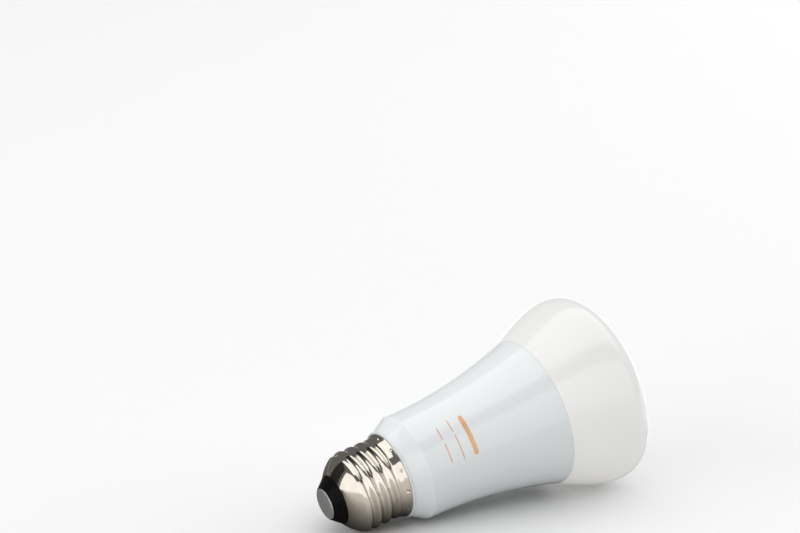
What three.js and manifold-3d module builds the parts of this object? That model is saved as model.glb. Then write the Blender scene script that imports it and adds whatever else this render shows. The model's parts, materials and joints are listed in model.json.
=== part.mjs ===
// A smart LED light bulb with a 26 mm Edison screw cap, lying on its side.
//
// Every piece is first made in the bulb's own frame, in millimetres: +Z runs along
// the bulb's axis from the face of the centre contact (z = 0) to the top of the globe.
// The whole bulb is then tipped over, so that it rests on its globe and on its screw
// thread, with the cap towards -X, the globe towards +X and the ground at z = 0.
import * as THREE from "three";
import { mergeVertices } from "three/addons/utils/BufferGeometryUtils.js";
import Module from "manifold-3d";

const wasm = await Module();
wasm.setup();

// ---- Driving dimensions, in millimetres ----

const BULB_LENGTH = 109;
const GLOBE_RADIUS = 31.6;
const GLOBE_WIDEST_Z = 97;
const DOME_POWER = 2.3; // the dome is a superellipse of this power
const GLOBE_WALL = 1.8;

const SEAM_Z = 77.3; // where the globe meets the housing
const SEAM_RADIUS = 24.7;
const SEAM_GAP = 0.12;
const GLOBE_FLANK_DEG = 27.5; // the globe's slope where it leaves the seam

const SHOULDER_Z = 29.9; // the corner at the foot of the housing
const SHOULDER_RADIUS = 17.4;
const FLANK_SAGITTA = 1.8; // how far the housing's flank is hollowed
const HOUSING_FOOT_Z = 23.8;
const HOUSING_FOOT_RADIUS = 14.3;
const HOUSING_WALL = 1.6;
const NECK_RADIUS = 11.5; // the part of the housing that the cap is staked on
const NECK_BORE = 10;
const NECK_END_Z = 11.8;

const THREAD_PITCH = 25.4 / 7; // seven turns to the inch
const THREAD_CREST = 13.2;
const THREAD_DEPTH = 0.95;
const THREAD_START_Z = 8.1;
const THREAD_END_Z = 21.2;
const CREST_Z_BELOW = 9.5; // height of a thread crest on the side that lies on the ground
const CAP_WALL = 0.45;
const CAP_BORE = 11.85;
const CAP_BAND_Z = 22.2; // the smooth band above the thread, where the cap is staked
const CAP_RIM_Z = 23.5;
const CAP_RIM_RADIUS = 13.95;
const CAP_MOUTH_Z = 3.8; // where the cap closes round the insulator
const CAP_MOUTH_RADIUS = 8.15;

const CONTACT_RADIUS = 5.15;
const CONTACT_THICK = 1.1;
const CONTACT_PIN_RADIUS = 1.2;
const CONTACT_PIN_END_Z = 8;

const FIT_GAP = 0.15; // between the casings and the pieces pressed into them
const REST_GAP = 0.1; // between flat faces that rest on each other
const HEATSINK_WALL = 1.1;
const HEATSINK_FOOT_Z = 33.4;
const HEATSINK_TOP_Z = 72.4;
const SPREADER_RADIUS = 20.9;
const SPREADER_THICK = 1.6;
const PAD_RADIUS = 19.4;
const PAD_THICK = 0.3;
const LED_BOARD_RADIUS = 20.2;
const LED_BOARD_THICK = 1.5;
const LED_RING_RADIUS = 11.2;
const LED_SIZE = 3.5;
const LED_HEIGHT = 0.75;
const SCREW_RING_RADIUS = 15.6;
const SCREW_RADIUS = 1.2;

const SLEEVE_RADIUS = 13.9;
const SLEEVE_WALL = 1;
const SLEEVE_TOP_Z = 70.6;
const LID_THICK = 1.2;

const DRIVER_BOARD_Y = -1.6; // the driver board's middle plane
const BOARD_THICK = 1.6;
const DRIVER_BOARD_TOP_Z = 67;
const DRIVER_BOARD_STEP_Z = 33.6;
const DRIVER_BOARD_FOOT_Z = 13.5;
const DRIVER_BOARD_HALF = 12;
const DRIVER_BOARD_NECK_HALF = 9;
const SOLDER_GAP = 0.2; // between a component and the board that it is soldered on

const RADIO_BOARD_HALF = 4.5;
const RADIO_BOARD_THICK = 0.8;
const RADIO_BOARD_FOOT_Z = 69.6;
const RADIO_BOARD_TOP_Z = 93;
const HEADER_Y = -4.6; // the row of pins from the driver to the LED board

const CASING_SIDES = 40;
const CAP_SIDES = 32;
const ROUND_SIDES = 16; // small turned pieces
const HOLE_SIDES = 12;
const FULL_TURN = 2 * Math.PI;

// ---- Materials ----

const material = (color, roughness, metalness = 0) =>
  new THREE.MeshStandardMaterial({ color, roughness, metalness });
const whitePlastic = material(0xeef1f1, 0.28);
const frostedPlastic = material(0xefeeea, 0.35);
const whiteReflector = material(0xf6f6f4, 0.6);
const nickelPlate = material(0xc9c0b2, 0.2, 1);
const blackGlass = material(0x121112, 0.25);
const tinPlate = material(0xa3a5a2, 0.55, 1);
const castAluminium = material(0xb9bcbf, 0.5, 1);
const naturalPlastic = material(0xd9d6c8, 0.6);
const greyPad = material(0x8f9aa5, 0.9);
const whiteBoard = material(0xf2f2ee, 0.45);
const greenBoard = material(0x1d5a35, 0.45);
const steel = material(0xb0b2b5, 0.35, 1);
const copper = material(0xc07a4a, 0.4, 1);
const ferrite = material(0x3a3a3d, 0.7);
const tapeYellow = material(0xe0c24a, 0.5);
const blackPlastic = material(0x1d1d1f, 0.5);
const bluePlastic = material(0x2f6fb5, 0.45);
const yellowPlastic = material(0xd8b52c, 0.45);
const leadRed = material(0xb3272a, 0.5);
const leadBlack = material(0x222224, 0.5);
const sleeveBlue = material(0x27406b, 0.4);
const resistorGreen = material(0x4f8f6a, 0.55);
const ledMaterials = {
  warm_white: material(0xf2c45a, 0.35),
  cool_white: material(0xf3e38a, 0.35),
  red: material(0xd98a86, 0.3),
  green: material(0xa9d9a6, 0.3),
  blue: material(0x9fb6e6, 0.3),
};

// ---- Geometry helpers ----

const point = (r, z) => new THREE.Vector2(r, z);

// A body turned round the Z axis from a closed outline of (radius, height) points.
function turned(outline, sides = ROUND_SIDES) {
  const points = outline.map((p) => p.clone());
  const onAxis = points[0].x === 0 && points.at(-1).x === 0;
  if (!onAxis) points.push(points[0].clone());
  if (THREE.ShapeUtils.area(points) < 0) points.reverse();
  // Half a side's turn puts a flat of each polygon, and not a corner, on the ground.
  const halfSide = Math.PI / sides;
  return new THREE.LatheGeometry(points, sides, halfSide).rotateX(Math.PI / 2);
}

function box(width, depth, height, x, y, z) {
  return new THREE.BoxGeometry(width, depth, height).translate(x, y, z);
}

// A plate of a flat outline in X and Y, from z up to z + thick.
function plate(shape, thick, z) {
  const options = { depth: thick, bevelEnabled: false };
  return new THREE.ExtrudeGeometry(shape, options).translate(0, 0, z);
}

// A plate whose flat outline is given in X and Z, standing at right angles to Y.
function standing(shape, thick, y) {
  return plate(shape, thick, 0)
    .rotateX(Math.PI / 2)
    .translate(0, y + thick / 2, 0);
}

function rod(radius, length, x, y, z, sides = ROUND_SIDES) {
  return new THREE.CylinderGeometry(radius, radius, length, sides)
    .rotateX(Math.PI / 2)
    .translate(x, y, z);
}

function rectangle(width, height, x = 0, y = 0, kind = THREE.Shape) {
  const [w, h] = [width / 2, height / 2];
  const corners = [
    [-w, -h],
    [w, -h],
    [w, h],
    [-w, h],
  ];
  return new kind(corners.map(([a, b]) => new THREE.Vector2(x + a, y + b)));
}

function disc(radius, sides, x = 0, y = 0, kind = THREE.Shape) {
  const corners = Array.from({ length: sides }, (_, i) => {
    const angle = (FULL_TURN * (i + 0.5)) / sides;
    return new THREE.Vector2(x + radius * Math.cos(angle), y + radius * Math.sin(angle));
  });
  return new kind(corners);
}

function solidOf(geometry) {
  const bare = geometry.clone();
  bare.deleteAttribute("normal");
  bare.deleteAttribute("uv");
  const merged = mergeVertices(bare, 1e-4);
  return new wasm.Manifold(
    new wasm.Mesh({
      numProp: 3,
      vertProperties: new Float32Array(merged.attributes.position.array),
      triVerts: new Uint32Array(merged.index.array),
    }),
  );
}

function geometryOf(solid) {
  const mesh = solid.getMesh();
  const geometry = new THREE.BufferGeometry();
  geometry.setAttribute("position", new THREE.BufferAttribute(mesh.vertProperties, 3));
  geometry.setIndex(new THREE.BufferAttribute(mesh.triVerts, 1));
  geometry.computeVertexNormals();
  return geometry;
}

const cut = (body, ...tools) =>
  geometryOf(tools.reduce((solid, tool) => solid.subtract(solidOf(tool)), solidOf(body)));
const join = (body, ...more) =>
  geometryOf(more.reduce((solid, other) => solid.add(solidOf(other)), solidOf(body)));

const bulb = new THREE.Group();

function piece(name, geometry, look) {
  const mesh = new THREE.Mesh(geometry, look);
  mesh.name = name;
  bulb.add(mesh);
  return mesh;
}

// ---- Outlines that several casings share ----

// The housing's hollow flank: an arc over the chord from the shoulder to the seam.
function flankRadius(z) {
  const along = (z - SHOULDER_Z) / (SEAM_Z - SHOULDER_Z);
  const chord = SHOULDER_RADIUS + along * (SEAM_RADIUS - SHOULDER_RADIUS);
  return chord - FLANK_SAGITTA * 4 * along * (1 - along);
}

function flank(fromZ, toZ, inset, steps) {
  return Array.from({ length: steps + 1 }, (_, i) => {
    const z = fromZ + ((toZ - fromZ) * i) / steps;
    return point(flankRadius(z) - inset, z);
  });
}

// The globe, from the seam to the axis: a curve that turns upright at the widest
// place, then a superellipse over the top. inset gives the inner face.
function globeOutline(inset, flankSteps, domeSteps) {
  const widest = GLOBE_RADIUS - inset;
  const rise = BULB_LENGTH - GLOBE_WIDEST_Z - inset;
  const slope = Math.tan(THREE.MathUtils.degToRad(GLOBE_FLANK_DEG));
  const startZ = SEAM_Z + SEAM_GAP;
  const startRadius = SEAM_RADIUS - inset;
  const bend = point(widest, startZ + (widest - startRadius) / slope);
  const side = new THREE.QuadraticBezierCurve(
    point(startRadius, startZ),
    bend,
    point(widest, GLOBE_WIDEST_Z),
  ).getPoints(flankSteps);
  const dome = Array.from({ length: domeSteps }, (_, i) => {
    const turn = ((i + 1) / domeSteps) * (Math.PI / 2);
    const across = Math.cos(turn) ** (2 / DOME_POWER);
    const up = Math.sin(turn) ** (2 / DOME_POWER);
    return point(i === domeSteps - 1 ? 0 : widest * across, GLOBE_WIDEST_Z + rise * up);
  });
  return [...side, ...dome];
}

// ---- Cap: screw shell, insulator and centre contact ----

const smoothStep = (from, to, x) => THREE.MathUtils.smoothstep(x, from, to);

// Height of the rolled thread over its mean radius, at an angle and a height.
function threadHeight(angle, z) {
  const turns = (z - CREST_Z_BELOW) / THREAD_PITCH - angle / FULL_TURN;
  const fadeIn = smoothStep(THREAD_START_Z, THREAD_START_Z + THREAD_PITCH / 2, z);
  const fadeOut = 1 - smoothStep(THREAD_END_Z - THREAD_PITCH / 2, THREAD_END_Z, z);
  return (THREAD_DEPTH / 2) * Math.cos(FULL_TURN * turns) * fadeIn * fadeOut;
}

function screwShell() {
  const meanRadius = THREAD_CREST - THREAD_DEPTH / 2;
  const rowsPerTurn = 5;
  const rows = Math.round(((THREAD_END_Z - THREAD_START_Z) / THREAD_PITCH) * rowsPerTurn);
  const threadRows = Array.from({ length: rows + 1 }, (_, i) => {
    const z = THREAD_START_Z + ((THREAD_END_Z - THREAD_START_Z) * i) / rows;
    return point(meanRadius - 0.2 * (1 - smoothStep(THREAD_START_Z, 9.8, z)), z);
  });
  const outer = [
    point(CAP_MOUTH_RADIUS, CAP_MOUTH_Z),
    point(9.7, 5.1),
    point(11.2, 6.65),
    point(12.1, 7.6),
    ...threadRows,
    point(CAP_RIM_RADIUS, CAP_BAND_Z),
    point(CAP_RIM_RADIUS, CAP_RIM_Z),
  ];
  const inner = [
    point(CAP_RIM_RADIUS - CAP_WALL, CAP_RIM_Z),
    point(CAP_RIM_RADIUS - CAP_WALL, CAP_BAND_Z + 0.2),
    point(CAP_BORE, THREAD_END_Z),
    point(CAP_BORE, THREAD_START_Z + 0.5),
    point(10.8, 7),
    point(9.3, 5.45),
    point(CAP_MOUTH_RADIUS, CAP_MOUTH_Z + 0.5),
  ];
  const shell = turned([...outer, ...inner], CAP_SIDES);
  const places = shell.getAttribute("position");
  for (let i = 0; i < places.count; i++) {
    const [x, y, z] = [places.getX(i), places.getY(i), places.getZ(i)];
    const radius = Math.hypot(x, y);
    if (radius <= CAP_BORE) continue;
    const grown = 1 + threadHeight(Math.atan2(y, x), z) / radius;
    places.setXY(i, x * grown, y * grown);
  }
  return shell;
}

piece("screw_shell", screwShell(), nickelPlate);

const insulatorOutline = [
  point(CONTACT_PIN_RADIUS + 0.25, CONTACT_THICK + REST_GAP),
  point(CONTACT_RADIUS + 0.15, CONTACT_THICK + REST_GAP),
  point(CONTACT_RADIUS + 0.15, 0.45),
  point(CONTACT_RADIUS + 0.35, 0.5),
  point(CAP_MOUTH_RADIUS - 0.15, CAP_MOUTH_Z - 0.15),
  point(CAP_MOUTH_RADIUS - 0.15, CAP_MOUTH_Z + 0.8),
  point(9.3, 6.3),
  point(9.3, 7.4),
  point(CONTACT_PIN_RADIUS + 0.25, 7.4),
];
piece("cap_insulator", turned(insulatorOutline, CAP_SIDES), blackGlass);

const contactOutline = [
  point(0, 0),
  point(CONTACT_RADIUS - 0.6, 0),
  point(CONTACT_RADIUS - 0.15, 0.2),
  point(CONTACT_RADIUS, 0.6),
  point(CONTACT_RADIUS, CONTACT_THICK),
  point(CONTACT_PIN_RADIUS, CONTACT_THICK),
  point(CONTACT_PIN_RADIUS, CONTACT_PIN_END_Z),
  point(0, CONTACT_PIN_END_Z),
];
piece("centre_contact", turned(contactOutline, CAP_SIDES), tinPlate);

// ---- Casings: housing and globe ----

const SPIGOT_RADIUS = 22.75; // the globe's tongue, which drops into the housing's mouth
const SPIGOT_END_Z = 74.6;
const MOUTH_RADIUS = SPIGOT_RADIUS + 0.3;
const MOUTH_FLOOR_Z = SPIGOT_END_Z - 0.4;
const CUP_LEDGE_Z = HEATSINK_FOOT_Z - REST_GAP;

const housingOutline = [
  point(NECK_RADIUS, NECK_END_Z),
  point(NECK_RADIUS, CAP_BAND_Z),
  point(NECK_RADIUS + 0.55, CAP_BAND_Z + 0.8),
  point(NECK_RADIUS + 0.55, HOUSING_FOOT_Z),
  point(HOUSING_FOOT_RADIUS - 0.2, HOUSING_FOOT_Z),
  point(HOUSING_FOOT_RADIUS, HOUSING_FOOT_Z + 0.15),
  point(SHOULDER_RADIUS - 0.15, SHOULDER_Z - 0.35),
  ...flank(SHOULDER_Z, SEAM_Z - 0.3, 0, 7),
  point(SEAM_RADIUS - 0.3, SEAM_Z),
  point(MOUTH_RADIUS, SEAM_Z),
  point(MOUTH_RADIUS, MOUTH_FLOOR_Z),
  ...flank(CUP_LEDGE_Z, MOUTH_FLOOR_Z, HOUSING_WALL, 4).reverse(),
  point(15.1, CUP_LEDGE_Z),
  point(15.1, SHOULDER_Z + 0.7),
  point(NECK_BORE, HOUSING_FOOT_Z + 0.6),
  point(NECK_BORE, NECK_END_Z),
];
piece("housing_shell", turned(housingOutline, CASING_SIDES), whitePlastic);

const globeShell = [
  ...globeOutline(0, 6, 10),
  ...globeOutline(GLOBE_WALL, 4, 6).reverse().slice(0, -1),
  point(SPIGOT_RADIUS - 1.2, SEAM_Z + 1),
  point(SPIGOT_RADIUS - 1.2, SPIGOT_END_Z),
  point(SPIGOT_RADIUS, SPIGOT_END_Z),
  point(SPIGOT_RADIUS, SEAM_Z + SEAM_GAP),
];
piece("diffuser_globe", turned(globeShell, CASING_SIDES), frostedPlastic);

// ---- Heat sink, heat spreader and driver sleeve ----

const cupInset = HOUSING_WALL + FIT_GAP;
const heatsinkOutline = [
  ...flank(HEATSINK_FOOT_Z, HEATSINK_TOP_Z, cupInset, 3),
  ...flank(HEATSINK_FOOT_Z, HEATSINK_TOP_Z, cupInset + HEATSINK_WALL, 3).reverse(),
];
piece("heatsink_cup", turned(heatsinkOutline, CASING_SIDES), castAluminium);

const sleeveOutline = [
  point(10.6, 28.6),
  point(SLEEVE_RADIUS, 32.2),
  point(SLEEVE_RADIUS, SLEEVE_TOP_Z),
  point(SLEEVE_RADIUS - SLEEVE_WALL, SLEEVE_TOP_Z),
  point(SLEEVE_RADIUS - SLEEVE_WALL, 32.7),
  point(9.8, 29.2),
];
piece("driver_sleeve", turned(sleeveOutline, CAP_SIDES), naturalPlastic);

const SPREADER_Z = HEATSINK_TOP_Z + REST_GAP;
const PAD_Z = SPREADER_Z + SPREADER_THICK + REST_GAP;
const LED_BOARD_Z = PAD_Z + PAD_THICK + REST_GAP;
const LED_BOARD_TOP_Z = LED_BOARD_Z + LED_BOARD_THICK;
const SCREW_COUNT = 3;
const screwPlaces = Array.from({ length: SCREW_COUNT }, (_, i) => {
  const angle = (FULL_TURN * i) / SCREW_COUNT + Math.PI / 2;
  return [SCREW_RING_RADIUS * Math.cos(angle), SCREW_RING_RADIUS * Math.sin(angle)];
});

// A round plate with slots for the radio board and the header pins.
function slottedDisc(radius, thick, z, screwHole) {
  const outline = disc(radius, CASING_SIDES);
  outline.holes.push(rectangle(2 * RADIO_BOARD_HALF + 1, 2, 0, 0, THREE.Path));
  outline.holes.push(rectangle(10, 2, 0, HEADER_Y, THREE.Path));
  if (screwHole) {
    for (const [x, y] of screwPlaces)
      outline.holes.push(disc(screwHole, HOLE_SIDES, x, y, THREE.Path));
  }
  return plate(outline, thick, z);
}

const lidZ = SLEEVE_TOP_Z + REST_GAP;
piece("sleeve_lid", slottedDisc(SLEEVE_RADIUS, LID_THICK, lidZ), naturalPlastic);
piece(
  "heat_spreader",
  slottedDisc(SPREADER_RADIUS, SPREADER_THICK, SPREADER_Z, SCREW_RADIUS + 0.15),
  castAluminium,
);
piece(
  "thermal_pad",
  slottedDisc(PAD_RADIUS, PAD_THICK, PAD_Z, SCREW_RADIUS + 0.6),
  greyPad,
);

// ---- Light engine: LED board, LEDs, reflector and screws ----

piece(
  "led_board",
  slottedDisc(LED_BOARD_RADIUS, LED_BOARD_THICK, LED_BOARD_Z, SCREW_RADIUS + 0.3),
  whiteBoard,
);

const LED_ORDER = [
  "warm_white",
  "red",
  "cool_white",
  "green",
  "warm_white",
  "blue",
  "warm_white",
  "red",
  "cool_white",
  "green",
  "warm_white",
  "blue",
];

// One LED package: a square body with a round window of phosphor or clear resin on it.
function ledPackage() {
  const body = box(LED_SIZE, LED_SIZE, LED_HEIGHT, 0, 0, LED_HEIGHT / 2);
  const windowHeight = 0.35;
  const window = rod(LED_SIZE * 0.38, windowHeight, 0, 0, LED_HEIGHT, HOLE_SIDES);
  return join(body, window);
}

const ledCounts = {};
LED_ORDER.forEach((colour, i) => {
  ledCounts[colour] = (ledCounts[colour] ?? 0) + 1;
  const led = piece(`led_${colour}_${ledCounts[colour]}`, ledPackage(), ledMaterials[colour]);
  const angle = (FULL_TURN * (i + 0.5)) / LED_ORDER.length;
  const z = LED_BOARD_TOP_Z + REST_GAP;
  led.position.set(LED_RING_RADIUS * Math.cos(angle), LED_RING_RADIUS * Math.sin(angle), z);
  led.rotation.z = angle;
});

const reflectorZ = LED_BOARD_TOP_Z + REST_GAP;
const reflectorOutline = [
  point(18, reflectorZ),
  point(21.2, reflectorZ),
  point(21.2, reflectorZ + 3.2),
  point(20.7, reflectorZ + 3.2),
  point(18, reflectorZ + 0.8),
];
piece("reflector_ring", turned(reflectorOutline, CASING_SIDES), whiteReflector);

// A pan-head screw with a cross recess, its head standing on z = 0.
function boardScrew() {
  const headRadius = 2;
  const shankLength = 5;
  const screw = turned(
    [
      point(0, -shankLength),
      point(SCREW_RADIUS * 0.6, -shankLength),
      point(SCREW_RADIUS, -shankLength + 0.7),
      point(SCREW_RADIUS, 0),
      point(headRadius, 0),
      point(headRadius, 0.7),
      point(headRadius * 0.7, 1.3),
      point(0, 1.45),
    ],
    HOLE_SIDES,
  );
  const slot = [2.2, 0.5, 1.4];
  return cut(screw, box(...slot, 0, 0, 1.5), box(slot[1], slot[0], slot[2], 0, 0, 1.5));
}

screwPlaces.forEach(([x, y], i) => {
  const screw = piece(`board_screw_${i + 1}`, boardScrew(), steel);
  screw.position.set(x, y, LED_BOARD_TOP_Z + REST_GAP);
});

// ---- Radio: its upright board, shield, crystal, antenna and header ----

const radioHeight = RADIO_BOARD_TOP_Z - RADIO_BOARD_FOOT_Z;
const radioMiddleZ = RADIO_BOARD_FOOT_Z + radioHeight / 2;
const radioOutline = rectangle(2 * RADIO_BOARD_HALF, radioHeight, 0, radioMiddleZ);
piece("radio_board", standing(radioOutline, RADIO_BOARD_THICK, 0), greenBoard);

const radioFace = RADIO_BOARD_THICK / 2 + SOLDER_GAP;
piece("radio_shield", box(7.6, 1.5, 8.4, 0, radioFace + 0.75, 83), tinPlate);
piece("radio_crystal", box(2.5, 0.8, 3.2, 1.6, -radioFace - 0.4, 82), tinPlate);

// The antenna is one folded copper trace near the top of the radio board.
function antennaTrace() {
  const width = 0.6;
  const thick = 0.15;
  const step = 1.3;
  const runs = 6;
  const [low, high] = [88.6, 91.8];
  const y = radioFace + thick / 2;
  const firstX = (-step * (runs - 1)) / 2;
  const bars = [];
  for (let i = 0; i < runs; i++) {
    const x = firstX + step * i;
    bars.push(box(width, thick, high - low, x, y, (low + high) / 2));
    if (i < runs - 1) {
      const z = i % 2 ? low + width / 2 : high - width / 2;
      bars.push(box(step + width, thick, width, x + step / 2, y, z));
    }
  }
  return join(...bars);
}
piece("radio_antenna", antennaTrace(), copper);
piece("radio_header", box(8, 2.6, 2, 0, -0.8, 68.3), blackPlastic);

// ---- Driver: board and the components on it ----

function driverBoardOutline() {
  const [wide, narrow] = [DRIVER_BOARD_HALF, DRIVER_BOARD_NECK_HALF];
  const corners = [
    [-narrow, DRIVER_BOARD_FOOT_Z],
    [narrow, DRIVER_BOARD_FOOT_Z],
    [narrow, DRIVER_BOARD_STEP_Z],
    [wide, DRIVER_BOARD_STEP_Z],
    [wide, DRIVER_BOARD_TOP_Z],
    [-wide, DRIVER_BOARD_TOP_Z],
    [-wide, DRIVER_BOARD_STEP_Z],
    [-narrow, DRIVER_BOARD_STEP_Z],
  ];
  return new THREE.Shape(corners.map(([x, z]) => new THREE.Vector2(x, z)));
}
piece("driver_board", standing(driverBoardOutline(), BOARD_THICK, DRIVER_BOARD_Y), greenBoard);

const frontFace = DRIVER_BOARD_Y + BOARD_THICK / 2 + SOLDER_GAP; // towards +Y
const backFace = DRIVER_BOARD_Y - BOARD_THICK / 2 - SOLDER_GAP; // towards -Y

// Transformer: a ferrite core with two windows, a bobbin round its middle leg and the
// winding in the bobbin.
const CORE_WIDTH = 14;
const CORE_HEIGHT = 12;
const CORE_DEPTH = 5;
const CORE_LEG = 3.2;
const WINDOW_WIDTH = 2.6;
const WINDOW_HEIGHT = 7.2;
const TRANSFORMER_Z = 53.5;
const WINDING_HALF_DEPTH = 5.1;
const TRANSFORMER_Y = frontFace + WINDING_HALF_DEPTH;

function transformerCore() {
  const windowX = (CORE_LEG + WINDOW_WIDTH) / 2;
  const windows = [-windowX, windowX].map((x) =>
    box(WINDOW_WIDTH, CORE_DEPTH + 1, WINDOW_HEIGHT, x, TRANSFORMER_Y, TRANSFORMER_Z),
  );
  const block = box(CORE_WIDTH, CORE_DEPTH, CORE_HEIGHT, 0, TRANSFORMER_Y, TRANSFORMER_Z);
  return cut(block, ...windows);
}

// A square tube round the core's middle leg, from its inner to its outer half sizes.
function legTube(innerX, innerY, outerX, outerY, height, z) {
  const outline = rectangle(2 * outerX, 2 * outerY, 0, TRANSFORMER_Y);
  outline.holes.push(rectangle(2 * innerX, 2 * innerY, 0, TRANSFORMER_Y, THREE.Path));
  return plate(outline, height, z - height / 2);
}

const legX = CORE_LEG / 2 + FIT_GAP;
const legY = CORE_DEPTH / 2 + FIT_GAP;
const bobbinWall = 0.4;
const windingX = CORE_LEG / 2 + WINDOW_WIDTH - FIT_GAP;
const flangeThick = 0.6;
const flangeZ = WINDOW_HEIGHT / 2 - flangeThick / 2 - FIT_GAP;
const tubeHeight = WINDOW_HEIGHT - 2 * FIT_GAP;
const bobbin = join(
  legTube(legX, legY, legX + bobbinWall, legY + bobbinWall, tubeHeight, TRANSFORMER_Z),
  ...[-flangeZ, flangeZ].map((z) =>
    legTube(legX, legY, windingX, WINDING_HALF_DEPTH, flangeThick, TRANSFORMER_Z + z),
  ),
);
piece("transformer_core", transformerCore(), ferrite);
piece("transformer_bobbin", bobbin, blackPlastic);
const coilInset = bobbinWall + REST_GAP;
const coilHeight = tubeHeight - 2 * flangeThick - 2 * REST_GAP;
const coil = [legX + coilInset, legY + coilInset, windingX - 0.2, WINDING_HALF_DEPTH - 0.3];
piece("transformer_winding", legTube(...coil, coilHeight, TRANSFORMER_Z), tapeYellow);

// An electrolytic capacitor: a can with a rolled groove near its foot, standing along Z.
function canCapacitor(radius, height) {
  return turned([
    point(0, 0),
    point(radius - 0.4, 0),
    point(radius, 0.4),
    point(radius, 1.4),
    point(radius - 0.35, 1.8),
    point(radius, 2.2),
    point(radius, height - 0.4),
    point(radius - 0.4, height),
    point(0, height),
  ]);
}

function placed(name, geometry, look, x, y, z) {
  piece(name, geometry, look).position.set(x, y, z);
}

const bulkRadius = 4;
placed(
  "bulk_capacitor",
  canCapacitor(bulkRadius, 14),
  leadBlack,
  0,
  frontFace + bulkRadius,
  16.5,
);
const outputRadius = 3.15;
placed(
  "output_capacitor",
  canCapacitor(outputRadius, 9.5),
  sleeveBlue,
  5.6,
  frontFace + outputRadius,
  35,
);

// Choke: a ferrite reel standing along Z, wound with copper wire.
const CHOKE_RADIUS = 3.8;
const CHOKE_HEIGHT = 8.4;
const REEL_FLANGE = 1.1;
const reelCore = CHOKE_RADIUS * 0.45;
const chokeOutline = [
  point(0, 0),
  point(CHOKE_RADIUS, 0),
  point(CHOKE_RADIUS, REEL_FLANGE),
  point(reelCore, REEL_FLANGE),
  point(reelCore, CHOKE_HEIGHT - REEL_FLANGE),
  point(CHOKE_RADIUS, CHOKE_HEIGHT - REEL_FLANGE),
  point(CHOKE_RADIUS, CHOKE_HEIGHT),
  point(0, CHOKE_HEIGHT),
];
const wireOutline = [
  point(reelCore + REST_GAP, REEL_FLANGE + REST_GAP),
  point(CHOKE_RADIUS - 0.4, REEL_FLANGE + REST_GAP),
  point(CHOKE_RADIUS - 0.4, CHOKE_HEIGHT - REEL_FLANGE - REST_GAP),
  point(reelCore + REST_GAP, CHOKE_HEIGHT - REEL_FLANGE - REST_GAP),
];
const chokePlace = [-5.2, frontFace + CHOKE_RADIUS, 35.4];
placed("choke_core", turned(chokeOutline), ferrite, ...chokePlace);
placed("choke_winding", turned(wireOutline), copper, ...chokePlace);

piece("film_capacitor", box(9, 4.4, 5.4, 0, frontFace + 2.2, 63.6), yellowPlastic);

// On the back of the board: rectifier, switch, controller, disc capacitor and fuse.
piece("bridge_rectifier", box(6.4, 2, 5, 3.6, backFace - 1, 39), blackPlastic);

function powerSwitch() {
  const body = box(6.5, 2.2, 6, 4.6, backFace - 1.1, 51);
  const tab = box(5.2, 0.6, 1.6, 4.6, backFace - 0.3, 54.7);
  return join(body, tab);
}
piece("power_switch", powerSwitch(), blackPlastic);

function controllerChip() {
  const [x, y, z] = [-1.5, backFace - 0.9, 57.5];
  const legs = [-1.905, -0.635, 0.635, 1.905].map((step) =>
    box(6, 0.3, 0.45, x, backFace - 0.35, z + step),
  );
  return join(box(3.9, 1.5, 4.9, x, y, z), ...legs);
}
piece("controller_chip", controllerChip(), blackPlastic);

const discRadius = 3.5;
const discThick = 2.4;
const discCapacitor = new THREE.CylinderGeometry(discRadius, discRadius, discThick, ROUND_SIDES);
discCapacitor.translate(-6.4, backFace - discThick / 2, 44);
piece("disc_capacitor", discCapacitor, bluePlastic);

const fuseRadius = 1.7;
const fuseOutline = [
  point(0, -1.4),
  point(0.35, -1.4),
  point(0.35, 0),
  point(fuseRadius, 0.3),
  point(fuseRadius, 1.6),
  point(fuseRadius * 0.85, 2.1),
  point(fuseRadius * 0.85, 6.4),
  point(fuseRadius, 6.9),
  point(fuseRadius, 8.2),
  point(0.35, 8.5),
  point(0.35, 9.9),
  point(0, 9.9),
];
placed(
  "fusible_resistor",
  turned(fuseOutline, HOLE_SIDES),
  resistorGreen,
  2.5,
  backFace - fuseRadius,
  18,
);

// The header that feeds the LED board: a plastic strip with four square pins.
function pinHeader() {
  const pitch = 2.54;
  const pinSize = 0.64;
  const [footZ, topZ] = [61.5, LED_BOARD_TOP_Z + 1.2];
  const strip = box(10.2, 2.5, 2.5, 0, HEADER_Y, 63.5);
  const pins = [-1.5, -0.5, 0.5, 1.5].map((n) =>
    box(pinSize, pinSize, topZ - footZ, n * pitch, HEADER_Y, (footZ + topZ) / 2),
  );
  return join(strip, ...pins);
}
piece("led_header", pinHeader(), blackPlastic);

// ---- Leads from the driver board to the cap ----

function lead(points, radius) {
  const route = new THREE.CatmullRomCurve3(points.map((p) => new THREE.Vector3(...p)));
  return new THREE.ExtrudeGeometry(disc(radius, 8), { steps: 12, extrudePath: route });
}

const leadRadius = 0.65;
const liveRoute = [
  [-5.5, frontFace + 0.9, 17],
  [-5.4, frontFace + 1.1, 14.4],
  [-3.2, 0.9, 11.4],
  [-0.7, 0.2, 10.2],
  [0, 0, CONTACT_PIN_END_Z + 0.2],
];
piece("live_lead", lead(liveRoute, leadRadius), leadRed);
const neutralRoute = [
  [-6, backFace - 0.9, 18],
  [-6.2, backFace - 1, 14.2],
  [-7.3, backFace - 1.6, 11],
  [-9.2, backFace - 2.6, 9.3],
  [-9.9, backFace - 3, 8.6],
];
piece("neutral_lead", lead(neutralRoute, leadRadius), leadBlack);

// ---- Lay the bulb down ----

// Lowest row height of a mesh's corners once the bulb's axis rises by tilt radians.
function lowestPoint(mesh, tilt) {
  const places = mesh.geometry.getAttribute("position");
  let lowest = Infinity;
  for (let i = 0; i < places.count; i++) {
    const height = places.getZ(i) * Math.sin(tilt) - places.getX(i) * Math.cos(tilt);
    lowest = Math.min(lowest, height);
  }
  return lowest;
}

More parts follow.
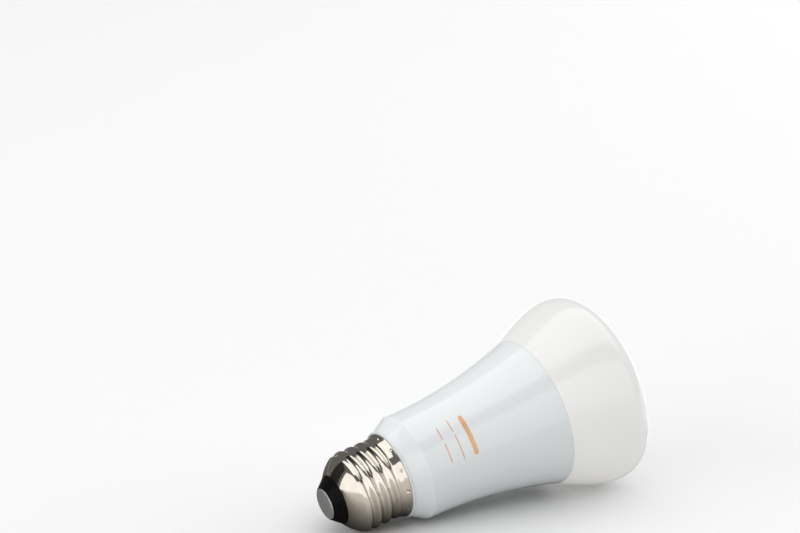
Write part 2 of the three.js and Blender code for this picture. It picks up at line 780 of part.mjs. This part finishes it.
// The tilt at which the globe and the screw shell touch the ground together.
function restingTilt() {
  const [shell, globe] = ["screw_shell", "diffuser_globe"].map((n) => bulb.getObjectByName(n));
  let [low, high] = [0, Math.PI / 4];
  for (let i = 0; i < 40; i++) {
    const tilt = (low + high) / 2;
    if (lowestPoint(globe, tilt) < lowestPoint(shell, tilt)) low = tilt;
    else high = tilt;
  }
  return (low + high) / 2;
}

bulb.rotation.y = Math.PI / 2 - restingTilt();
const part = new THREE.Group();
part.add(bulb);
part.updateMatrixWorld(true);
const bounds = new THREE.Box3().setFromObject(bulb, true);
const middle = bounds.getCenter(new THREE.Vector3());
bulb.position.set(-middle.x, -middle.y, -bounds.min.z);

export default part;
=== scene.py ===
"""A smart light bulb lying on its side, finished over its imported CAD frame.

The outer pieces are drawn in the bulb's own frame, in millimetres: Z runs along the axis
from the face of the centre contact to the top of the globe, and X points to the ground.
Angles round the axis are in degrees, from X towards Y.
"""

import json
import math

import bmesh
import bpy
from mathutils import Matrix, Vector


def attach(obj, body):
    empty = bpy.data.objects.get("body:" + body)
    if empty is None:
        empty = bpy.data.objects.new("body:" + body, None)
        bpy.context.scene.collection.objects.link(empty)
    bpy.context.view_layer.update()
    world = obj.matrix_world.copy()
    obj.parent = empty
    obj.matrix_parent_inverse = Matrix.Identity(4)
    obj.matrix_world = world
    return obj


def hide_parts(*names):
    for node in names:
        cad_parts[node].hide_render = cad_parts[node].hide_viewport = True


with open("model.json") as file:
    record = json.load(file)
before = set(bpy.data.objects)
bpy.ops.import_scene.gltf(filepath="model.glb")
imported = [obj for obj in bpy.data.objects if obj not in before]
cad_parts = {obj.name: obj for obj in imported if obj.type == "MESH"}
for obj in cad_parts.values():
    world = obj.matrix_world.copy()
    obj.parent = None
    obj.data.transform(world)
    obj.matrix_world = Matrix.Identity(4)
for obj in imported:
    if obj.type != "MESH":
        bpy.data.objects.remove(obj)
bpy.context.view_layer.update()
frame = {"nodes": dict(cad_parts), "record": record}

MM = 0.001
MOUNTS = {mount["name"]: mount for mount in frame["record"]["mounts"]}
CONTACT_FACE = Vector(MOUNTS["cap_contact"]["pos_m"])
BULB_AXIS = -Vector(MOUNTS["cap_contact"]["axis"]).normalized()

# Casings, in millimetres unless the name says otherwise
BULB_LENGTH = 109.0
GLOBE_RADIUS = 31.6
GLOBE_WIDEST_Z = 97.0
GLOBE_FLANK_DEG = 27.5
DOME_POWER = 2.5
GLOBE_WALL = 1.8
SEAM_Z = 77.3
SEAM_RADIUS = 24.7
SEAM_GAP = 0.08
SHOULDER_Z = 29.9
SHOULDER_RADIUS = 17.4
FLANK_SAGITTA = 1.8
FOOT_Z = 23.75
FOOT_RADIUS = 14.42
COLLAR_HEIGHT = 0.5
COLLAR_GROOVE = 0.3
HOUSING_WALL = 1.6
NECK_RADIUS = 11.5
NECK_BORE = 10.0
NECK_END_Z = 11.8
SPIGOT_RADIUS = 22.75
SPIGOT_WALL = 1.2
SPIGOT_END_Z = 74.6
CAVITY_RADIUS = 15.1
CAVITY_Z = 33.3

# Cap, in millimetres unless the name says otherwise
PITCH = 25.4 / 7
THREAD_CREST = 13.2
THREAD_DEPTH = 0.95
THREAD_START_Z = 8.3
THREAD_END_Z = 21.0
CREST_Z_BELOW = 9.5
SHEET = 0.3
CAP_MOUTH_Z = 3.8
CAP_MOUTH_RADIUS = 8.15
CAP_CORNER_Z = 8.3
CAP_CORNER_RADIUS = 12.5
CONE_BULGE = 0.22
BAND_Z = 20.9
BAND_RADIUS = 13.0
FLARE_Z = 22.3
FLARE_RADIUS = 13.4
RIM_Z = 23.5
RIM_RADIUS = 13.95
NECK_LEDGE = 0.55
CORNER_BLEND = 1.6
BAND_BLEND = 0.7
STAKE_COUNT = 12
STAKE_FIRST_DEG = -59.0
STAKE_Z = 22.6
STAKE_RADIUS = 0.6
STAKE_DEPTH = 0.34
CONTACT_RADIUS = 5.05
CONTACT_THICK = 1.1
PIN_RADIUS = 1.2
PIN_BORE = 1.45
PIN_END_Z = 8
RING_RADIUS = 9.3
RING_END_Z = 7.4

# Printed marks on the housing, in millimetres and degrees round the axis
MARK_RAISE = 0.012
MARKS = (
    # middle z, height, from angle, to angle
    (46.4, 1.5, -146.0, -103.5),
    (42.05, 0.38, -147.5, -133.5),
    (42.05, 0.38, -129.5, -103.5),
    (37.8, 0.38, -144.5, -130.5),
    (37.8, 0.38, -126.5, -105.5),
)

# Camera: its place in metres, its turns in degrees and its lens in millimetres
CAMERA_FROM_CONTACT = Vector((-0.2968, -0.5575, 0.2652))
CAMERA_TURN_DEG = 30.15
CAMERA_PITCH_DEG = 16.62
CAMERA_LENS = 99.0

# Cards over the floor, seen only in gloss, that paint shadow: in metres, a Y and the card's tone
# there, darkest at the bulb where its shadow falls
CARD_HEIGHT = 0.0004
FRONT_PAINTED_SHADOW = (
    (-0.24, 0.66),
    (-0.06, 0.64),
    (-0.04, 0.58),
    (-0.024, 0.42),
    (-0.016, 0.26),
    (-0.008, 0.12),
    (0, 0.07),
)
BACK_PAINTED_SHADE = ((0, 0.07), (0.3, 0.1), (1.5, 0.3))

# How finely the turned pieces are drawn, round the axis and along their outlines
SIDES = 192
SHELL_SIDES = 440
HOUSING_STEPS = 48
GLOBE_FLANK_STEPS = 28
GLOBE_DOME_STEPS = 44


# ---- Meshes ----


def bulb_matrix():
    """From the bulb's own frame, in metres, to the scene."""
    across = Vector((0, 1, 0))
    down = across.cross(BULB_AXIS)
    turn = Matrix((down, across, BULB_AXIS)).transposed().to_4x4()
    return Matrix.Translation(CONTACT_FACE) @ turn


BULB = bulb_matrix()
# Textures take their place from this empty, so that they follow the bulb's axis.
guide = bpy.data.objects.new("bulb_guide", None)
guide.matrix_world = BULB
bpy.context.collection.objects.link(guide)


def add_piece(name, points, faces, material, slot, nodes=(), sharp_deg=35):
    """A piece given in the bulb's frame, in millimetres, that stands for some CAD nodes."""
    mesh = bpy.data.meshes.new(name)
    mesh.from_pydata([Vector(p) * MM for p in points], [], faces)
    work = bmesh.new()
    work.from_mesh(mesh)
    bmesh.ops.recalc_face_normals(work, faces=work.faces)
    work.to_mesh(mesh)
    work.free()
    mesh.shade_smooth()
    mesh.set_sharp_from_angle(angle=math.radians(sharp_deg))
    mesh.materials.append(material)
    mesh.transform(BULB)
    piece = bpy.data.objects.new(name, mesh)
    bpy.context.collection.objects.link(piece)
    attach(piece, "root")
    for node in nodes:
        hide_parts(node)
    return piece


def turned(outline, sides=SIDES, shaped=None):
    """Points and faces of a closed outline of (radius, z) turned round the axis.

    shaped, if given, moves each corner: it takes an angle, a radius and a z, and
    gives the new radius.
    """
    points = []
    faces = []
    rings = []
    for radius, z in outline:
        if radius == 0:
            rings.append([len(points)] * sides)
            points.append((0, 0, z))
            continue
        rings.append(range(len(points), len(points) + sides))
        for i in range(sides):
            angle = math.tau * i / sides
            r = shaped(angle, radius, z) if shaped else radius
            points.append((r * math.cos(angle), r * math.sin(angle), z))
    open_ends = outline[0][0] == 0 and outline[-1][0] == 0
    pairs = list(zip(rings, rings[1:]))
    if not open_ends:
        pairs.append((rings[-1], rings[0]))
    for low, high in pairs:
        for i in range(sides):
            j = (i + 1) % sides
            corners = list(dict.fromkeys((low[i], low[j], high[j], high[i])))
            faces.append(corners)
    return points, faces


def rounded(corners, steps=5):
    """An outline whose corners are (radius, z, fillet), with arcs in place of the corners."""
    outline = []
    last = len(corners) - 1
    for i, (r, z, fillet) in enumerate(corners):
        if fillet == 0 or (i in (0, last) and r == 0):
            outline.append((r, z))
            continue
        here = Vector((r, z))
        before = (Vector(corners[i - 1][:2]) - here).normalized()
        after = (Vector(corners[(i + 1) % len(corners)][:2]) - here).normalized()
        half = before.angle(after) / 2
        start = here + before * fillet / math.tan(half)
        end = here + after * fillet / math.tan(half)
        centre = here + (before + after).normalized() * fillet / math.sin(half)
        for k in range(steps + 1):
            spoke = (start - centre).slerp(end - centre, k / steps) * fillet
            outline.append(tuple(centre + spoke))
    return outline


def sharp(points):
    return [(r, z, 0) for r, z in points]


def mix(a, b, t):
    return a + (b - a) * t


def smooth_step(low, high, x):
    t = min(max((x - low) / (high - low), 0), 1)
    return t * t * (3 - 2 * t)


# ---- Outlines ----


def flank_radius(z):
    along = (z - SHOULDER_Z) / (SEAM_Z - SHOULDER_Z)
    chord = mix(SHOULDER_RADIUS, SEAM_RADIUS, along)
    return chord - FLANK_SAGITTA * 4 * along * (1 - along)


def flank(low, high, inset, steps):
    heights = [mix(low, high, i / steps) for i in range(steps + 1)]
    return [(flank_radius(z) - inset, z) for z in heights]


def globe_curve(inset, flank_steps, dome_steps):
    """The globe from the seam to the axis: a curve that turns upright at the widest
    place, then a superellipse over the top."""
    widest = GLOBE_RADIUS - inset
    rise = BULB_LENGTH - GLOBE_WIDEST_Z - inset
    start = (SEAM_RADIUS - inset, SEAM_Z + SEAM_GAP)
    bend_z = start[1] + (widest - start[0]) / math.tan(math.radians(GLOBE_FLANK_DEG))
    curve = []
    for i in range(flank_steps):
        t = i / flank_steps
        radius = mix(mix(start[0], widest, t), widest, t)
        z = mix(mix(start[1], bend_z, t), mix(bend_z, GLOBE_WIDEST_Z, t), t)
        curve.append((radius, z))
    for i in range(dome_steps):
        turn = math.pi / 2 * i / dome_steps
        across = math.cos(turn) ** (2 / DOME_POWER)
        up = math.sin(turn) ** (2 / DOME_POWER)
        curve.append((widest * across, GLOBE_WIDEST_Z + rise * up))
    curve.append((0, GLOBE_WIDEST_Z + rise))
    return curve


def housing_outline():
    mouth = SPIGOT_RADIUS + 0.3
    floor_z = SPIGOT_END_Z - 0.4
    outside = sharp(flank(SHOULDER_Z + 0.9, SEAM_Z - 0.6, 0, HOUSING_STEPS))
    inside = sharp(reversed(flank(CAVITY_Z, floor_z, HOUSING_WALL, HOUSING_STEPS // 2)))
    return rounded(
        [
            (NECK_RADIUS, NECK_END_Z, 0.2),
            (NECK_RADIUS, FLARE_Z, 0),
            (NECK_RADIUS + NECK_LEDGE, FLARE_Z + 0.8, 0),
            (NECK_RADIUS + NECK_LEDGE, FOOT_Z, 0.1),
            (FOOT_RADIUS, FOOT_Z, 0.12),
            (FOOT_RADIUS, FOOT_Z + COLLAR_HEIGHT, 0.15),
            (FOOT_RADIUS - COLLAR_GROOVE, FOOT_Z + COLLAR_HEIGHT + 0.1, 0.08),
            (SHOULDER_RADIUS, SHOULDER_Z, 1.0),
            *outside,
            (SEAM_RADIUS, SEAM_Z, 0.1),
            (mouth, SEAM_Z, 0.15),
            (mouth, floor_z, 0),
            *inside,
            (CAVITY_RADIUS, CAVITY_Z, 0),
            (CAVITY_RADIUS, SHOULDER_Z + 0.7, 0),
            (NECK_BORE, FOOT_Z + 0.6, 0),
            (NECK_BORE, NECK_END_Z, 0.2),
        ]
    )


def globe_outline():
    outside = globe_curve(0, GLOBE_FLANK_STEPS, GLOBE_DOME_STEPS)
    inside = list(reversed(globe_curve(GLOBE_WALL, 14, 24)))
    # The lip at the seam is broken by a small round, which draws the dark joint line.
    lip = rounded(
        [
            (SPIGOT_RADIUS, SPIGOT_END_Z, 0.2),
            (SPIGOT_RADIUS, SEAM_Z + SEAM_GAP, 0),
            (*outside[0], 0.1),
            (*outside[1], 0),
        ]
    )
    spigot = [
        (SPIGOT_RADIUS - SPIGOT_WALL, SEAM_Z + 1),
        (SPIGOT_RADIUS - SPIGOT_WALL, SPIGOT_END_Z),
    ]
    # Both ends of the curve lie on the axis, so the outline starts and ends there.
    return [*reversed(outside[2:]), *reversed(lip), *reversed(spigot), *reversed(inside)]


# ---- Cap shapes ----


def thread_height(angle, z):
    """Height of the rolled thread over its mean radius."""
    turns = (z - CREST_Z_BELOW) / PITCH - angle / math.tau
    fade = smooth_step(THREAD_START_Z, THREAD_START_Z + PITCH / 2, z)
    fade *= 1 - smooth_step(THREAD_END_Z - PITCH / 2, THREAD_END_Z, z)
    return THREAD_DEPTH / 2 * math.cos(math.tau * turns) * fade


def stake_depth(angle, z):
    """Depth of the punch marks that stake the shell on the neck."""
    step = math.tau / STAKE_COUNT
    offset = (angle - math.radians(STAKE_FIRST_DEG) + step / 2) % step - step / 2
    distance = math.hypot(offset * FLARE_RADIUS, z - STAKE_Z)
    return STAKE_DEPTH * (1 - smooth_step(0, STAKE_RADIUS, distance))


def shell_radius(angle, radius, z):
    return radius + thread_height(angle, z) - stake_depth(angle, z)


def band_radius(z):
    """The smooth band above the thread, and the flare at its rim."""
    if z < FLARE_Z:
        return mix(BAND_RADIUS, FLARE_RADIUS, (z - BAND_Z) / (FLARE_Z - BAND_Z))
    return mix(FLARE_RADIUS, RIM_RADIUS, (z - FLARE_Z) / (RIM_Z - FLARE_Z))


def shell_face():
    """The sheet's outer face before the thread is rolled into it."""
    mean = THREAD_CREST - THREAD_DEPTH / 2
    points = []
    cone_steps = 18
    for i in range(cone_steps):
        t = i / cone_steps
        bulge = CONE_BULGE * 4 * t * (1 - t)
        radius = mix(CAP_MOUTH_RADIUS, CAP_CORNER_RADIUS, t) + bulge
        points.append((radius, mix(CAP_MOUTH_Z, CAP_CORNER_Z, t) - bulge))
    rows = 108
    for i in range(rows + 1):
        z = mix(CAP_CORNER_Z, RIM_Z, i / rows)
        in_thread = smooth_step(CAP_CORNER_Z, CAP_CORNER_Z + CORNER_BLEND, z)
        in_band = smooth_step(BAND_Z - BAND_BLEND, BAND_Z, z)
        radius = mix(CAP_CORNER_RADIUS, mean, in_thread)
        points.append((mix(radius, band_radius(z), in_band), z))
    return points


def shell_outline():
    outside = shell_face()
    radius, z = outside[-1]
    edge = []
    edge_steps = 9
    for i in range(1, edge_steps):
        turn = math.radians(180 * i / edge_steps)
        edge.append((radius - SHEET * (1 - math.cos(turn)) / 2, z + SHEET / 2 * math.sin(turn)))
    inside = [(max(r - SHEET, CAP_MOUTH_RADIUS + 0.1), z + 0.1) for r, z in outside[:-2:3]]
    return [*outside, *edge, *reversed(inside)]


INSULATOR = rounded(
    [
        (PIN_BORE, CONTACT_THICK + 0.1, 0),
        (CONTACT_RADIUS + 0.07, CONTACT_THICK + 0.1, 0),
        (CONTACT_RADIUS + 0.07, 0.35, 0.05),
        (CONTACT_RADIUS + 0.35, 0.38, 0.12),
        (CAP_MOUTH_RADIUS - 0.06, CAP_MOUTH_Z - 0.15, 0.06),
        (CAP_MOUTH_RADIUS - 0.06, CAP_MOUTH_Z + 0.8, 0),
        (RING_RADIUS, 6.3, 0.2),
        (RING_RADIUS, RING_END_Z, 0.2),
        (PIN_BORE, RING_END_Z, 0.1),
    ]
)

CONTACT = rounded(
    [
        (0, 0, 0),
        (CONTACT_RADIUS, 0, 0.3),
        (CONTACT_RADIUS, CONTACT_THICK, 0.1),
        (PIN_RADIUS, CONTACT_THICK, 0),
        (PIN_RADIUS, PIN_END_Z, 0.2),
        (0, PIN_END_Z, 0),
    ]
)


def mark_patch(middle_z, height, from_deg, to_deg):
    """A printed bar with round ends, laid just over the housing's flank."""
    steps = 48
    rows = 6
    points = []
    faces = []
    radius = flank_radius(middle_z)
    length = math.radians(to_deg - from_deg) * radius
    cap = height / 2
    for i in range(steps + 1):
        along = length * (1 - math.cos(math.pi * i / steps)) / 2
        inset = max(cap - along, cap - (length - along), 0)
        half = math.sqrt(max(cap**2 - inset**2, 1e-6))
        angle = math.radians(from_deg) + along / radius
        for k in range(rows + 1):
            z = middle_z + half * (2 * k / rows - 1)
            r = flank_radius(z) + MARK_RAISE
            points.append((r * math.cos(angle), r * math.sin(angle), z))
    row = rows + 1
    for i in range(steps):
        for k in range(rows):
            a = i * row + k
            faces.append((a, a + row, a + row + 1, a + 1))
    return points, faces


# ---- Materials ----


class Surface:
    """A Principled material, with short calls for the detail on it."""

    def __init__(self, name, color, roughness, metallic=0.0, **sockets):
        self.material = bpy.data.materials.new(name)
        self.material.use_nodes = True
        self.nodes = self.material.node_tree.nodes
        self.links = self.material.node_tree.links
        self.shader = self.nodes["Principled BSDF"]
        self.color = color
        self.shader.inputs["Base Color"].default_value = (*color, 1)
        self.shader.inputs["Roughness"].default_value = roughness
        self.shader.inputs["Metallic"].default_value = metallic
        for socket, value in sockets.items():
            self.shader.inputs[socket.replace("_", " ")].default_value = value
        place = self.nodes.new("ShaderNodeTexCoord")
        place.object = guide
        self.coordinates = place.outputs["Object"]
        self.last_normal = None

    def noise(self, size_mm, detail=4.0, stretch=(1, 1, 1)):
        """Noise whose features are about size_mm wide."""
        mapping = self.nodes.new("ShaderNodeMapping")
        mapping.inputs["Scale"].default_value = stretch
        texture = self.nodes.new("ShaderNodeTexNoise")
        texture.inputs["Scale"].default_value = 1 / (size_mm * MM)
        texture.inputs["Detail"].default_value = detail
        self.links.new(self.coordinates, mapping.inputs["Vector"])
        self.links.new(mapping.outputs["Vector"], texture.inputs["Vector"])
        return texture.outputs["Fac"]

    def bands(self, size_mm, direction):
        """Straight bands, size_mm apart, along one axis of the bulb's frame."""
        texture = self.nodes.new("ShaderNodeTexWave")
        texture.bands_direction = direction
        texture.inputs["Scale"].default_value = math.tau / 20 / (size_mm * MM)
        self.links.new(self.coordinates, texture.inputs["Vector"])
        return texture.outputs["Fac"]

    def ramp(self, value, low, high, from_low=0.3, from_high=0.7):
        node = self.nodes.new("ShaderNodeMapRange")
        node.inputs["From Min"].default_value = from_low
        node.inputs["From Max"].default_value = from_high
        node.inputs["To Min"].default_value = low
        node.inputs["To Max"].default_value = high
        self.links.new(value, node.inputs["Value"])
        return node.outputs["Result"]

    def rough(self, value, low, high):
        self.links.new(self.ramp(value, low, high), self.shader.inputs["Roughness"])
        return self

    def tint(self, value, other, amount=1.0):
        """Blends the base colour towards another where value is high."""
        node = self.nodes.new("ShaderNodeMix")
        node.data_type = "RGBA"
        node.inputs["A"].default_value = (*self.color, 1)
        node.inputs["B"].default_value = (*other, 1)
        self.links.new(self.ramp(value, 0, amount), node.inputs["Factor"])
        self.links.new(node.outputs["Result"], self.shader.inputs["Base Color"])
        return self

    def bump(self, value, height_mm):
        node = self.nodes.new("ShaderNodeBump")
        node.inputs["Distance"].default_value = height_mm * MM
        self.links.new(value, node.inputs["Height"])
        if self.last_normal:
            self.links.new(self.last_normal, node.inputs["Normal"])
        self.last_normal = node.outputs["Normal"]
        self.links.new(self.last_normal, self.shader.inputs["Normal"])
        return self


def housing_material():
    look = Surface("housing_white", (0.71, 0.733, 0.738), 0.12, Specular_IOR_Level=0.6)
    look.rough(look.noise(14), 0.08, 0.15)
    look.tint(look.noise(30, 2), (0.72, 0.743, 0.748))
    return look.bump(look.noise(1.2, 2), 0.002).material


def globe_material():
    look = Surface("globe_frosted", (0.47, 0.468, 0.459), 0.15, Specular_IOR_Level=0.6)
    # A painted glow: a faint emission stands in for light from all round passing through the frosted
    # wall, and evens out its shade.
    look.shader.inputs["Emission Color"].default_value = (1, 0.99, 0.965, 1)
    look.shader.inputs["Emission Strength"].default_value = 0.3
    look.rough(look.noise(10), 0.12, 0.18)
    look.tint(look.noise(26, 2), (0.48, 0.478, 0.469))
    return look.bump(look.noise(1.0, 2), 0.002).material


def nickel_material():
    look = Surface("cap_nickel", (0.66, 0.62, 0.555), 0.08, 1.0)
    streaks = look.noise(6, 5, (0.12, 0.12, 6))
    look.rough(streaks, 0.04, 0.1)
    look.tint(look.noise(3, 5), (0.58, 0.53, 0.455), 0.6)
    return look.bump(look.noise(1.2, 5, (0.2, 0.2, 3)), 0.006).material


def insulator_material():
    look = Surface("insulator_black", (0.004, 0.0035, 0.0035), 0.2, Specular_IOR_Level=0.04)
    look.rough(look.noise(2), 0.12, 0.3)
    look.tint(look.noise(1.2), (0.009, 0.008, 0.0075), 0.5)
    return look.bump(look.noise(0.8), 0.012).material


def contact_material():
    look = Surface("contact_tin", (0.6, 0.6, 0.592), 0.5, 0.85)
    look.rough(look.noise(0.8, 6), 0.42, 0.62)
    look.tint(look.noise(1.6, 6), (0.47, 0.47, 0.463))
    return look.bump(look.noise(0.4, 5), 0.01).material


def print_material():
    look = Surface("copper_print", (0.62, 0.34, 0.16), 0.38, 0.25)
    look.rough(look.noise(0.6), 0.3, 0.48)
    return look.tint(look.noise(0.5), (0.66, 0.40, 0.22)).material


def linear(color):
    return tuple(channel**2.2 for channel in color)


def darker(color, share):
    return tuple(channel * share for channel in color)


def plastic_look(slot, color):
    look = Surface(slot, color, 0.45)
    look.rough(look.noise(1.5), 0.38, 0.55)
    look.tint(look.noise(4, 3), darker(color, 0.88))
    return look.bump(look.noise(0.25, 6), 0.008).material


def metal_look(slot, color):
    look = Surface(slot, color, 0.35, 1.0)
    look.rough(look.noise(1, 5, (1, 1, 0.15)), 0.25, 0.5)
    look.tint(look.noise(2, 5), darker(color, 0.8))
    return look.bump(look.noise(0.4, 6), 0.012).material


def ceramic_look(slot, color):
    """Sintered ferrite: matte, with a coarse grain."""
    look = Surface(slot, color, 0.75)
    look.rough(look.noise(0.8), 0.65, 0.9)
    look.tint(look.noise(0.6, 6), darker(color, 0.7))
    return look.bump(look.noise(0.15, 6), 0.03).material


def wound_look(slot, color, metallic=0.0):
    """Wire or tape in turns."""
    look = Surface(slot, color, 0.35, metallic)
    turns = look.bands(0.35, "Z")
    look.rough(look.noise(0.8), 0.25, 0.45)
    look.tint(turns, darker(color, 0.6))
    return look.bump(turns, 0.05).material


def copper_look(slot, color):
    return wound_look(slot, color, 1.0)


def board_look(slot, color):
    """Solder mask over glass cloth, whose weave shows through."""
    look = Surface(slot, color, 0.35)
    look.rough(look.noise(0.6), 0.28, 0.45)
    look.tint(look.noise(1.8, 1), darker(color, 0.7))
    look.bump(look.bands(0.45, "Y"), 0.01)
    return look.bump(look.bands(0.45, "Z"), 0.01).material


def phosphor_look(slot, color):
    """A light-emitting diode's cast lens."""
    look = Surface(slot, color, 0.3)
    look.rough(look.noise(0.3), 0.2, 0.4)
    look.tint(look.noise(0.12, 6), darker(color, 0.8))
    return look.bump(look.noise(0.2, 4), 0.006).material


LOOK_OF_CLASS = {
    "aluminium": metal_look,
    "brushed_steel": metal_look,
    "cast_iron": ceramic_look,
    "brass": copper_look,
}
LOOK_OF_SLOT = {
    "board_green": board_look,
    "board_white": board_look,
    "winding_tape": wound_look,
    "capacitor_black": plastic_look,
    "capacitor_blue": plastic_look,
}


def finish_inner_nodes():
    """The CAD nodes sealed in the bulb keep their shapes and get their finishes."""
    looks = {}
    for row in frame["record"]["materials"]:
        slot = row["slot"]
        make = LOOK_OF_CLASS.get(row["class"], plastic_look)
        if slot.startswith("led_"):
            make = phosphor_look
        make = LOOK_OF_SLOT.get(slot, make)
        looks[slot] = make(slot, linear(row["base_color"]))
    for node in frame["nodes"].values():
        slot = node.data.materials[0].name
        node.data.materials[0] = looks[slot]


def build_outer_pieces():
    housing = turned(housing_outline())
    add_piece("housing", *housing, housing_material(), "housing_plastic", ["housing_shell"])
    globe = turned(globe_outline())
    add_piece("globe", *globe, globe_material(), "globe_plastic", ["diffuser_globe"])
    shell = turned(shell_outline(), SHELL_SIDES, shell_radius)
    add_piece("screw_cap_shell", *shell, nickel_material(), "cap_nickel", ["screw_shell"], 50)
    ring = turned(INSULATOR, 144)
    add_piece("insulator_ring", *ring, insulator_material(), "insulator_black", ["cap_insulator"])
    disc = turned(CONTACT, 144)
    add_piece("contact_disc", *disc, contact_material(), "contact_tin", ["centre_contact"])
    ink = print_material()
    for number, mark in enumerate(MARKS, 1):
        add_piece(f"print_mark_{number}", *mark_patch(*mark), ink, "copper")


# ---- Stage ----


def add_quad(name, corners, look):
    mesh = bpy.data.meshes.new(name)
    mesh.from_pydata(corners, [], [(0, 1, 2, 3)])
    mesh.materials.append(look.material)
    quad = bpy.data.objects.new(name, mesh)
    bpy.context.collection.objects.link(quad)
    return quad


def show_in_gloss_only(quad):
    quad.visible_camera = False
    quad.visible_diffuse = False
    quad.visible_shadow = False


def add_floor():
    half = 4.0
    corners = [(-half, -half, 0), (half, -half, 0), (half, half, 0), (-half, half, 0)]
    look = Surface("floor_white", (0.76, 0.76, 0.764), 0.9, Specular_IOR_Level=0.0)
    floor = add_quad("floor", corners, look)


def add_softbox(name, centre, target, width, height, radiance, only=None):
    """A soft light. only="gloss" makes it a reflection, and only="diffuse" hides it in gloss."""
    light = bpy.data.lights.new(name, "AREA")
    light.shape = "RECTANGLE"
    light.size = width
    light.size_y = height
    light.energy = radiance * math.pi * width * height
    lamp = bpy.data.objects.new(name, light)
    bpy.context.collection.objects.link(lamp)
    lamp.location = centre
    aim = Vector(target) - Vector(centre)
    lamp.rotation_euler = aim.to_track_quat("-Z", "Y").to_euler()
    lamp.visible_camera = False
    lamp.visible_diffuse = only != "gloss"
    lamp.visible_glossy = only != "diffuse"


def add_flag(name, corners):
    """A black card beside the bulb, seen only in gloss."""
    flag = add_quad(name, corners, Surface("flag_black", (0.012, 0.011, 0.01), 0.9))
    show_in_gloss_only(flag)


def add_painted_shade_card(name, corners, shade_tones):
    """A card just over the floor, seen only in gloss, whose tones paint the shade of the floor round
    the bulb into reflections, darkest at the bulb. Its tones run along Y.
    """
    look = Surface(name, (0.1, 0.1, 0.1), 0.9)
    across = look.nodes.new("ShaderNodeSeparateXYZ")
    look.links.new(look.coordinates, across.inputs["Vector"])
    start, end = shade_tones[0][0], shade_tones[-1][0]
    ramp = look.nodes.new("ShaderNodeValToRGB")
    look.links.new(look.ramp(across.outputs["Y"], 0, 1, start, end), ramp.inputs["Fac"])
    look.links.new(ramp.outputs["Color"], look.shader.inputs["Base Color"])
    stops = ramp.color_ramp.elements
    for y, _ in shade_tones[1:-1]:
        stops.new((y - start) / (end - start))
    for stop, (_, shade_tone) in zip(stops, shade_tones):
        stop.color = (shade_tone, shade_tone * 0.96, shade_tone * 0.9, 1)
    card = add_quad(name, [(x, y, CARD_HEIGHT) for x, y in corners], look)
    show_in_gloss_only(card)


def add_lights():
    add_softbox("overhead", (0.15, 0.13, 0.6), (0.15, 0.13, 0), 1.1, 0.7, 1.4, "gloss")
    add_softbox("front", (0, -1.3, 0.72), (0, 0, 0.72), 3.2, 1.42, 1.3, "gloss")
    add_softbox("left", (-1.4, -0.5, 0.48), (0, -0.5, 0.48), 1.6, 0.94, 1.3, "gloss")
    add_softbox("top", (0, 0, 1.6), (0, 0, 0), 3, 3, 1.1, "diffuse")
    add_softbox("left_fill", (-1.6, 0, 0.7), (0, 0, 0.3), 2.4, 1.2, 2.2, "diffuse")
    add_softbox("right_fill", (1.6, 0, 0.7), (0, 0, 0.3), 2.4, 1.2, 2.5, "diffuse")
    add_softbox("back_fill", (0, 1.8, 0.7), (0, 0, 0.3), 2.4, 1.2, 1.1, "diffuse")
    add_softbox("front_top", (-0.4, -1.1, 1.3), (0, 0, 0), 1.8, 1.0, 0.35, "diffuse")
    add_flag("flag_left", [(-0.42, 0.14, 0), (-0.26, 0.3, 0), (-0.26, 0.3, 0.3), (-0.42, 0.14, 0.3)])
    # Painted shadow: these cards are dark at the bulb, so the cap and housing reflect a shaded floor
    # there.
    add_painted_shade_card("painted_shadow_card_front", [(-0.3, -0.24), (0.12, -0.24), (0.12, 0), (-0.3, 0)], FRONT_PAINTED_SHADOW)
    add_painted_shade_card("painted_shade_card_back", [(-1, 0), (-0.03, 0), (0.42, 1.5), (-1, 1.5)], BACK_PAINTED_SHADE)
    world = bpy.data.worlds.new("studio")
    world.use_nodes = True
    background = world.node_tree.nodes["Background"]
    background.inputs["Color"].default_value = (0.98, 0.99, 1.0, 1)
    background.inputs["Strength"].default_value = 0.18
    bpy.context.scene.world = world


def add_camera():
    data = bpy.data.cameras.new("camera")
    data.lens = CAMERA_LENS
    data.sensor_width = 36
    data.clip_start = 0.01
    camera = bpy.data.objects.new("camera", data)
    bpy.context.collection.objects.link(camera)
    camera.location = CONTACT_FACE + CAMERA_FROM_CONTACT
    camera.rotation_euler = (
        math.radians(90 - CAMERA_PITCH_DEG),
        0,
        math.radians(-CAMERA_TURN_DEG),
    )
    bpy.context.scene.camera = camera


add_camera()
build_outer_pieces()
finish_inner_nodes()
add_floor()
add_lights()
bpy.context.scene.view_settings.view_transform = "Standard"
